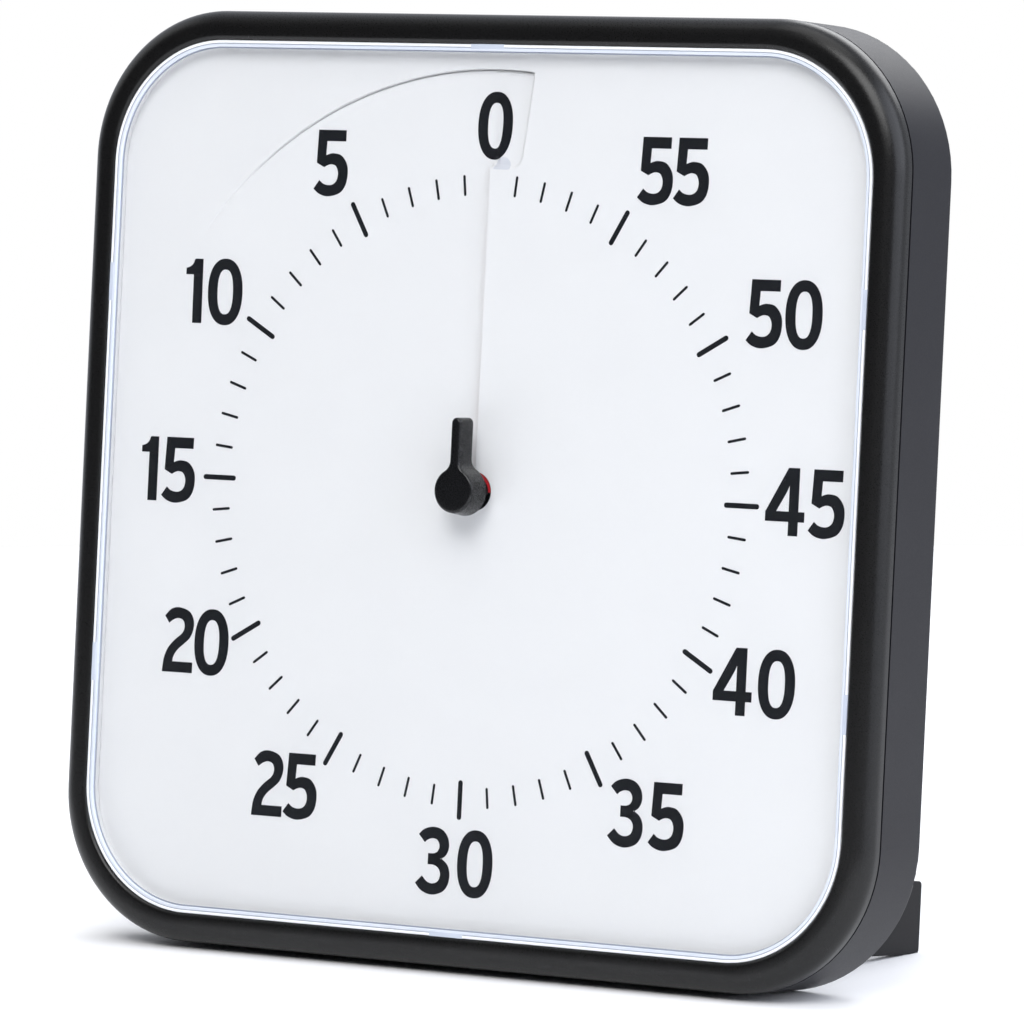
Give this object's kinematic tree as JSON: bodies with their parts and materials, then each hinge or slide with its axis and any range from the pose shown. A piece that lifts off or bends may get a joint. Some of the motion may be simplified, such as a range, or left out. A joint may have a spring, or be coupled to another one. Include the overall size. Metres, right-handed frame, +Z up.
{
  "type": "visual countdown timer",
  "caption": "Square desk timer with a white numbered dial behind a clear window, a lever knob, a red helical countdown disc and two folding rear feet.",
  "frame": {"origin": "on the floor, under the middle of the bounding box, with the feet open", "axes": "+Z up, +X to the viewer's right, +Y away from the viewer, so the dial faces -Y and leans back"},
  "size_m": [0.292, 0.1211, 0.2928],
  "materials": {
    "case_black": "fine satin texture",
    "shell_slate": "fine satin texture",
    "window_clear": "clear polished",
    "dial_white": "smooth matte",
    "disc_red": "smooth matte",
    "knob_black": "satin",
    "bright_steel": "bright",
    "natural_nylon": "moulded",
    "copper_wire": "enamelled",
    "board_green": "coated",
    "spring_brass": "stamped",
    "cell_wrap": "printed film, plain"
  },
  "bodies": {
    "case": {"front_bezel": "case_black", "rear_shell": "shell_slate", "clear_lens": "window_clear", "dial_plate": "dial_white", "stator": "bright_steel", "coil_bobbin": "natural_nylon", "coil_winding": "copper_wire", "movement_housing": "natural_nylon", "movement_cover": "natural_nylon", "movement_screws": "bright_steel", "main_board": "board_green", "quartz_crystal": "bright_steel", "timer_chip": "knob_black", "buzzer": "knob_black", "switch_body": "bright_steel", "zero_contact": "spring_brass", "battery_cell": "cell_wrap", "battery_spring_contact": "spring_brass", "battery_plate_contact": "spring_brass", "foot_pins": "bright_steel", "holding_magnets": "bright_steel", "case_screws": "bright_steel", "board_screws": "bright_steel"},
    "pointer": {"knob": "knob_black", "spindle": "bright_steel", "zero_cam": "natural_nylon", "clutch_spring": "bright_steel"},
    "disc": {"countdown_disc": "disc_red", "disc_hub": "knob_black"},
    "drive": {"drive_wheel": "natural_nylon"},
    "third": {"third_wheel": "natural_nylon"},
    "second": {"second_wheel": "natural_nylon"},
    "rotor_body": {"rotor": "bright_steel"},
    "right_stand": {"right_foot": "case_black"},
    "left_stand": {"left_foot": "case_black"},
    "door": {"battery_door": "shell_slate"},
    "slider": {"sound_slider": "knob_black"}
  },
  "joints": [
    {"name": "knob_turn", "type": "hinge", "parent": "case", "child": "pointer", "pos_m": [0, -0.04284, 0.14746], "axis": [0, -0.996, 0.0892], "range_deg": [0, 360]},
    {"name": "disc_advance", "type": "slide", "parent": "pointer", "child": "disc", "axis": [0, -0.996, 0.0892], "range_m": [0, 0.0022]},
    {"name": "drive_wheel_turn", "type": "hinge", "parent": "case", "child": "drive", "pos_m": [0, -0.04284, 0.14746], "axis": [0, -0.996, 0.0892], "continuous": true},
    {"name": "third_wheel_turn", "type": "hinge", "parent": "case", "child": "third", "pos_m": [-0.017, -0.04284, 0.14746], "axis": [0, -0.996, 0.0892], "continuous": true},
    {"name": "second_wheel_turn", "type": "hinge", "parent": "case", "child": "second", "pos_m": [-0.01198, -0.04168, 0.16047], "axis": [0, -0.996, 0.0892], "continuous": true},
    {"name": "rotor_turn", "type": "hinge", "parent": "case", "child": "rotor_body", "pos_m": [0.00117, -0.04125, 0.16524], "axis": [0, -0.996, 0.0892], "continuous": true},
    {"name": "right_foot_fold", "type": "hinge", "parent": "case", "child": "right_stand", "pos_m": [0.091, -0.02837, 0.01875], "axis": [0, 0.0892, 0.996], "range_deg": [0, 94.5]},
    {"name": "left_foot_fold", "type": "hinge", "parent": "case", "child": "left_stand", "pos_m": [-0.091, -0.02837, 0.01875], "axis": [0, -0.0892, -0.996], "range_deg": [0, 94.5]},
    {"name": "battery_door_swing", "type": "hinge", "parent": "case", "child": "door", "pos_m": [-0.0256, -0.01948, 0.10344], "axis": [0, 0.0892, 0.996], "range_deg": [0, 100]},
    {"name": "sound_switch_slide", "type": "slide", "parent": "case", "child": "slider", "axis": [1, 0, 0], "range_m": [0, 0.003]}
  ],
  "couplings": [
    {"joint": "disc_advance", "follows": "knob_turn", "m_per_rad": 0.00035014},
    {"joint": "second_wheel_turn", "follows": "rotor_turn", "ratio": -0.16667},
    {"joint": "third_wheel_turn", "follows": "rotor_turn", "ratio": 0.027778},
    {"joint": "drive_wheel_turn", "follows": "rotor_turn", "ratio": -0.0037037}
  ]
}
